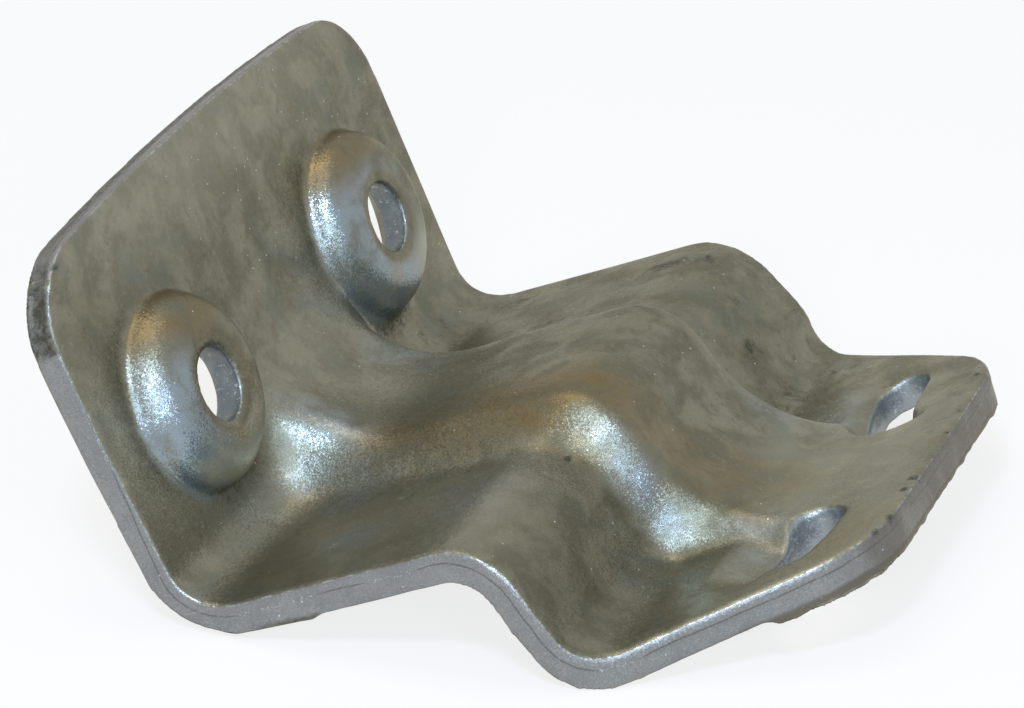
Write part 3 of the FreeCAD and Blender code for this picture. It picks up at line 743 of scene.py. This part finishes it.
def sheared_face(n, t, deep, dirt_and_shade):
    """Smooth bluish grey, with a thin torn line along the middle, a brown lower strip and torn patches."""
    waver = n.plus(deep, n.swing(n.noise(t.mm, 0.12, 4), 1.1))
    fleck = n.plus(t.grain, n.swing(t.cloud, 0.8))
    face = n.mix(n.ramp(fleck, 0.36, 0.70), *SHEARED)
    face = n.mix(n.ramp(n.noise(t.mm, 0.3, 3), 0.45, 0.62, 0.0, 0.4), face, SHEARED_WARM)
    # The line shows here and there, and where it doesn't, the edge glints.
    shown = n.ramp(n.noise(t.mm, 0.06, 2), 0.40, 0.52)
    line = n.times(n.ramp(waver, 1.72, 1.90), n.ramp(waver, 2.18, 1.98))
    line = n.times(n.times(line, n.ramp(t.speck, 0.34, 0.46)), shown)
    face = n.mix(n.times(line, 0.60), face, SHEARED_LINE)
    glint = n.times(n.ramp(waver, 1.55, 1.8), n.ramp(waver, 2.3, 2.0))
    glint = n.times(n.times(glint, n.ramp(t.grain, 0.55, 0.66)), n.math("SUBTRACT", 1.0, shown))
    face = n.mix(n.times(glint, 0.7), face, SHEARED_GLINT)
    tail = n.times(n.attribute("tail"), n.ramp(t.cloud, 0.4, 0.6, 0.65, 0.4))
    strip = n.math("MAXIMUM", n.ramp(waver, 4.3, 5.0), tail)
    strip = n.times(strip, n.attribute("foot"))
    face = n.mix(n.times(strip, 0.85), face, SHEARED_STRIP)
    torn = n.mix(n.ramp(t.speck, 0.38, 0.62), *TORN)
    face = n.mix(n.times(n.attribute("torn"), 0.9), face, torn)
    return n.mix(n.times(dirt_and_shade, 0.8), face, SHEARED_DIRT_AND_SHADE)


def hole_wall(n, t):
    """Walls of the holes and slots: bluish grey, with painted glints and, in the slots, painted lighting from
    below.
    """
    hollow = n.mix(n.ramp(t.cloud, 0.35, 0.65), *HOLLOW)
    # Painted lighting: the slot walls lighter, as if lit from the floor below.
    hollow = n.mix(n.attribute("painted_light"), hollow, HOLLOW_PAINTED_LIGHT)
    painted_glint = n.ramp(n.plus(t.speck, n.times(t.grain, 0.5)), 0.86, 0.96)
    return n.mix(painted_glint, hollow, HOLLOW_PAINTED_GLINT)


def edge_highlight_dust_and_scratches(n, t, colour, cut, deep):
    """A painted highlight along the upper lip of the sheared faces, sparse bright dust and sparse scratches.
    """
    lip = n.times(n.ramp(cut, 0.10, 0.35), n.ramp(cut, 0.85, 0.50))
    lip = n.times(lip, n.ramp(deep, 1.1, 0.5))
    lip = n.times(lip, n.ramp(n.plus(t.speck, n.times(t.cloud, 0.6)), 0.74, 0.92))
    colour = n.mix(n.times(lip, 0.5), colour, LIP_PAINTED_HIGHLIGHT)
    dots = n.cells(t.mm, 0.42)
    few = n.math("GREATER_THAN", n.split(dots.outputs["Color"]), 0.62)
    dust = n.times(n.ramp(dots.outputs["Distance"], 0.075, 0.045), few)
    colour = n.mix(n.times(dust, 0.8), colour, DUST)
    lines = [n.ramp(n.noise(n.stretch(t.mm, *one), 1.0, 2, 0.5), 0.69, 0.73) for one in SCRATCH_SETS]
    scratch = n.math("MAXIMUM", n.math("MAXIMUM", lines[0], lines[1]), lines[2])
    scratch = n.times(scratch, n.ramp(t.broad, 0.42, 0.6))
    return n.mix(n.times(scratch, 0.35), colour, SCRATCH)


def crystal_normal(n, t):
    """Fine bumps, and crystals of zinc that each lean their own way, which glitters in the highlights."""
    lean = n.vector("SUBTRACT", n.cells(t.mm, 5.2).outputs["Color"], (0.5, 0.5, 0.5))
    height = n.times(n.noise(t.mm, 0.15, 2), 0.05)
    height = n.plus(height, n.times(n.noise(t.mm, 0.85, 3, 0.7), 0.040))
    height = n.plus(height, n.times(n.noise(t.mm, 3.2, 1), 0.018))
    bump = n.new("ShaderNodeBump")
    bump.inputs["Strength"].default_value = 1.0
    bump.inputs["Distance"].default_value = 0.001
    n.link(height, bump.inputs["Height"])
    return n.vector("NORMALIZE", n.vector("ADD", bump.outputs[0], n.vector("SCALE", lean, 0.22)))


def zinc_material():
    mat = bpy.data.materials.new("weathered_zinc_with_painted_lighting")
    mat.use_nodes = True
    n = Nodes(mat.node_tree)
    out = n.new("ShaderNodeOutputMaterial")
    bsdf = n.new("ShaderNodeBsdfPrincipled")
    n.link(bsdf.outputs[0], out.inputs["Surface"])
    t = zinc_textures(n)
    cut, deep = n.attribute("cut"), n.attribute("deep")
    highlight_paint, dirt_and_shade = painted_highlight_weight(n, t), dirt_and_shade_mask(n, t)

    face = sheared_face(n, t, deep, dirt_and_shade)
    face = n.mix(n.times(n.attribute("inside"), 0.9), face, hole_wall(n, t))
    colour = n.mix(n.ramp(cut, 0.30, 0.70), zinc_coat(n, t, highlight_paint, dirt_and_shade), face)
    n.link(edge_highlight_dust_and_scratches(n, t, colour, cut, deep), bsdf.inputs["Base Color"])

    rough = n.ramp(t.tone, 0.35, 0.7, 0.40, 0.30)
    rough = n.plus(rough, n.times(dirt_and_shade, 0.2))
    rough = n.plus(rough, n.times(n.attribute("torn"), 0.3))
    rough = n.plus(rough, n.times(n.attribute("painted_shade"), 0.12))
    rough = n.math("SUBTRACT", rough, n.times(highlight_paint, 0.10), True)
    n.link(rough, bsdf.inputs["Roughness"])
    bsdf.inputs["Metallic"].default_value = 0.8
    bsdf.inputs["Specular Tint"].default_value = METAL_TINT
    n.link(crystal_normal(n, t), bsdf.inputs["Normal"])
    return mat


plate.data.materials.append(zinc_material())


def seen_directly(n):
    """1 for the camera and for mirror-like and clear views, which show the white backdrop."""
    path = n.new("ShaderNodeLightPath")
    seen = n.math("MAXIMUM", path.outputs["Is Camera Ray"], path.outputs["Is Glossy Ray"])
    return n.math("MAXIMUM", seen, path.outputs["Is Transmission Ray"])


def laid_floor(low):
    """A square across the plate's resting direction, just below its lowest point."""
    half = 2.0
    clearance = 0.0001
    mesh = bpy.data.meshes.new("floor")
    corners = [(-half, -half, 0), (half, -half, 0), (half, half, 0), (-half, half, 0)]
    mesh.from_pydata(corners, [], [(0, 1, 2, 3)])
    square = bpy.data.objects.new("floor", mesh)
    bpy.context.scene.collection.objects.link(square)
    turned = REST_NORMAL.to_track_quat("Z", "Y").to_matrix().to_4x4()
    square.matrix_world = Matrix.Translation(REST_NORMAL * (low - clearance)) @ turned
    return square


def floor_material():
    """White paper that takes a faint shadow, and is clear from below."""
    mat = bpy.data.materials.new("floor")
    mat.use_nodes = True
    n = Nodes(mat.node_tree)
    out = n.new("ShaderNodeOutputMaterial")
    diffuse = n.new("ShaderNodeBsdfDiffuse")
    diffuse.inputs["Color"].default_value = (0.86, 0.86, 0.86, 1)
    white = n.new("ShaderNodeEmission")
    white.inputs["Strength"].default_value = 1.0
    veil = n.new("ShaderNodeMixShader")
    n.link(n.times(seen_directly(n), 0.80), veil.inputs[0])
    n.link(diffuse.outputs[0], veil.inputs[1])
    n.link(white.outputs[0], veil.inputs[2])
    clear = n.new("ShaderNodeBsdfTransparent")
    sides = n.new("ShaderNodeMixShader")
    n.link(n.new("ShaderNodeNewGeometry").outputs["Backfacing"], sides.inputs[0])
    n.link(veil.outputs[0], sides.inputs[1])
    n.link(clear.outputs[0], sides.inputs[2])
    n.link(sides.outputs[0], out.inputs["Surface"])
    return mat


def light_world():
    """White where it is seen directly, and dimmer where it lights the plate."""
    world = bpy.data.worlds.new("studio")
    bpy.context.scene.world = world
    world.use_nodes = True
    n = Nodes(world.node_tree)
    out = n.new("ShaderNodeOutputWorld")
    background = n.new("ShaderNodeBackground")
    n.link(n.ramp(seen_directly(n), 0.0, 1.0, 0.55, 1.0), background.inputs["Strength"])
    n.link(background.outputs[0], out.inputs["Surface"])


def area_light(name, toward, distance, size, power, color):
    """A round lamp that faces a point 30 mm above the origin, from the direction toward."""
    data = bpy.data.lights.new(name, "AREA")
    data.shape = "DISK"
    data.size = size
    data.energy = power
    data.color = color
    lamp = bpy.data.objects.new(name, data)
    bpy.context.scene.collection.objects.link(lamp)
    aim = Vector(toward).normalized()
    lamp.location = aim * distance + Vector((0, 0, 0.03))
    lamp.rotation_euler = (-aim).to_track_quat("-Z", "Y").to_euler()


def photo_camera():
    """Camera at the photograph's viewing angle."""
    data = bpy.data.cameras.new("camera")
    data.sensor_width = 36.0
    data.lens = 182.2
    cam = bpy.data.objects.new("camera", data)
    bpy.context.scene.collection.objects.link(cam)
    right = Vector((0.85901, 0.34654, -0.37684)).normalized()
    down = Vector((-0.23315, -0.39051, -0.89059))
    down = (down - right * down.dot(right)).normalized()
    back = right.cross(-down)
    spot = Vector((0.35384, -0.68243, 0.23991))
    cam.matrix_world = Matrix((
        (right.x, -down.x, back.x, spot.x),
        (right.y, -down.y, back.y, spot.y),
        (right.z, -down.z, back.z, spot.z),
        (0, 0, 0, 1),
    ))
    return cam


# The plate lies as in the photograph, on the heel of the first bend and the toe of the last.
floor = laid_floor(float((co @ np.array(REST_NORMAL)).min()) / 1000)
floor.data.materials.append(floor_material())
light_world()
area_light("window", (0.39, -0.60, 0.69), 0.95, 0.17, 5.2, (0.60, 0.78, 1.0))
area_light("window_low", (0.33, -0.90, 0.24), 1.0, 0.28, 2.9, (0.62, 0.80, 1.0))
area_light("window_side", (0.71, -0.67, 0.20), 1.0, 0.20, 1.5, (0.60, 0.78, 1.0))
area_light("ceiling", (0.12, 0.1, 0.95), 1.0, 0.55, 2.0, (1.0, 0.84, 0.66))
bpy.context.scene.camera = photo_camera()
bpy.context.scene.view_settings.view_transform = "Standard"
